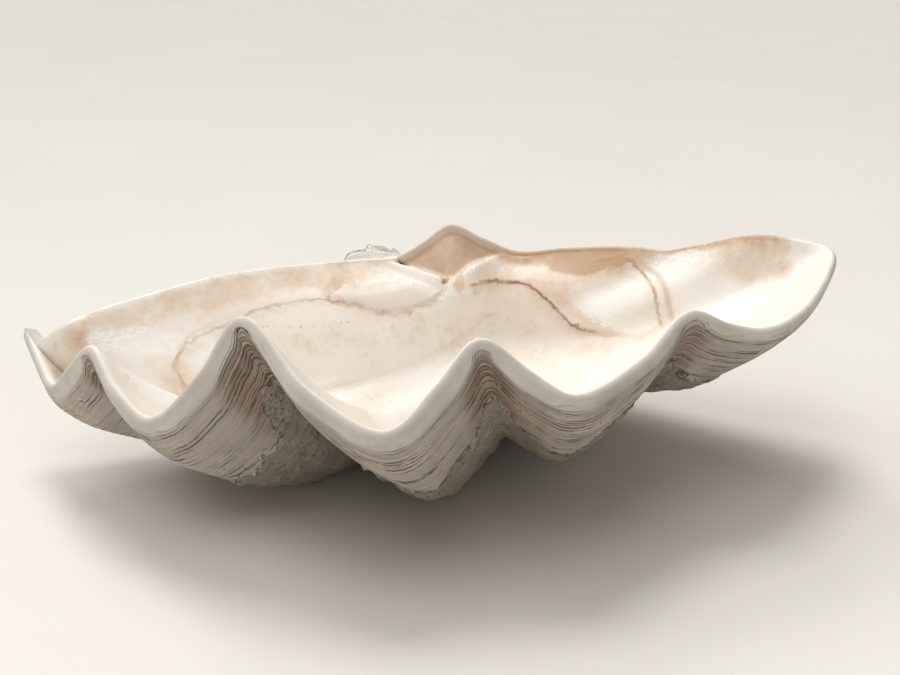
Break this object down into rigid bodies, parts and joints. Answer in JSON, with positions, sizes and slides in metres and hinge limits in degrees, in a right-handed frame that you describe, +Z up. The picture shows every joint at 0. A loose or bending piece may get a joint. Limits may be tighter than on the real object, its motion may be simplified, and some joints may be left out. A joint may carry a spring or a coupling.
{
  "type": "giant clam shell",
  "caption": "Single fluted valve of a giant clam, lying on its back with its wide hollow up, smooth cream inside and rough grey outside.",
  "frame": {"origin": "middle of the bounding box, on the surface the shell rests on", "axes": "+X along the shell's length towards its right end, +Y towards the hinge, +Z up out of the hollow"},
  "size_m": [0.7574, 0.4754, 0.2062],
  "materials": {
    "shell": "satin inside, matt and chalky outside"
  },
  "bodies": {
    "root": {"valve": "shell"}
  },
  "joints": []
}
